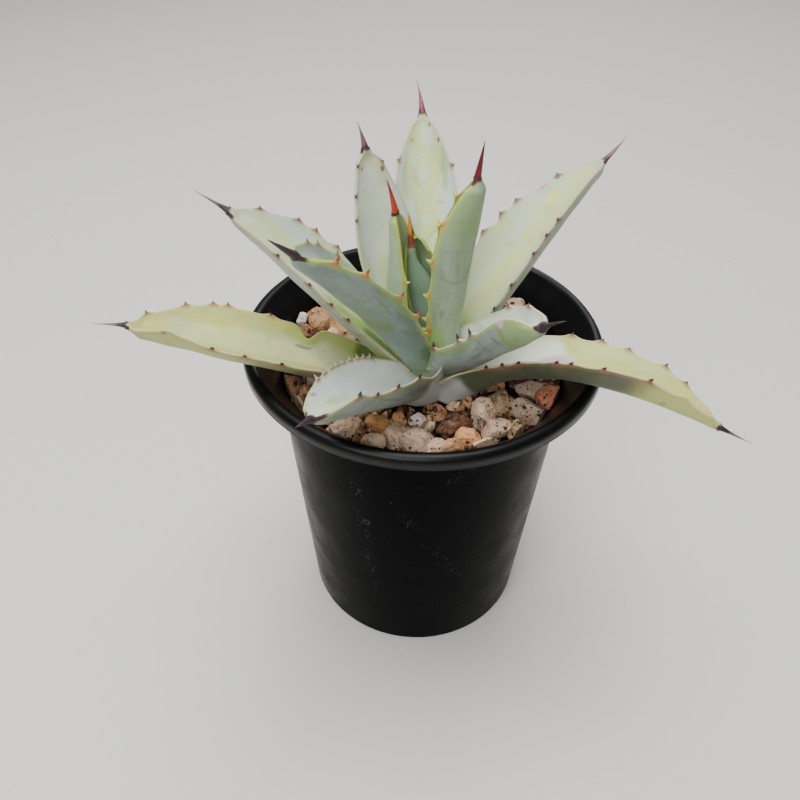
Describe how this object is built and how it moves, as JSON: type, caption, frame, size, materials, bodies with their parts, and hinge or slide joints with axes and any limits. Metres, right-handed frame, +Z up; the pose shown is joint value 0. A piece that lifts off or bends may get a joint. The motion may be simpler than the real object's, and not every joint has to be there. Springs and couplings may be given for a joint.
{
  "type": "potted agave",
  "caption": "Young agave rosette of thick channelled leaves with toothed margins and hard end spines, in a round tapered plastic nursery pot topped with pumice gravel.",
  "frame": {"origin": "middle of the flat underside of the pot", "axes": "+Z up, +X along the leaves' widest spread, to the right seen from the front, -Y towards the front"},
  "size_m": [0.1967, 0.1326, 0.1891],
  "materials": {
    "pot_plastic": "moulded black polypropylene, semi-gloss, faintly scratched",
    "growing_mix": "dark gritty growing mix",
    "gravel": "dry porous pumice and fired clay pebbles",
    "stem": "pale green stem with brown leaf scars",
    "leaf_young": "smooth green leaf with a thin waxy bloom",
    "leaf_grown": "pale grey-green leaf with a powdery waxy bloom",
    "leaf_old": "yellow-green older leaf, thin waxy bloom",
    "spine_young": "smooth horny spine, red to amber",
    "spine_old": "smooth horny spine, mauve grey to dark brown"
  },
  "bodies": {
    "root": {"pot": "pot_plastic", "growing_mix": "growing_mix", "gravel": "gravel", "stem": "stem", "leaf_spear": "leaf_young", "leaf_heart_back": "leaf_young", "leaf_heart_left": "leaf_young", "leaf_heart_right": "leaf_young", "leaf_front_inner": "leaf_young", "leaf_back": "leaf_grown", "leaf_back_left": "leaf_grown", "leaf_right_high": "leaf_grown", "leaf_left_high": "leaf_grown", "leaf_front_right": "leaf_grown", "leaf_front_left": "leaf_grown", "leaf_left_low": "leaf_old", "leaf_right_low": "leaf_old", "spine_spear": "spine_young", "spine_heart_back": "spine_young", "spine_heart_left": "spine_young", "spine_heart_right": "spine_young", "spine_front_inner": "spine_old", "spine_back": "spine_old", "spine_back_left": "spine_old", "spine_right_high": "spine_old", "spine_left_high": "spine_old", "spine_front_right": "spine_old", "spine_front_left": "spine_old", "spine_left_low": "spine_old", "spine_right_low": "spine_old"}
  },
  "joints": []
}
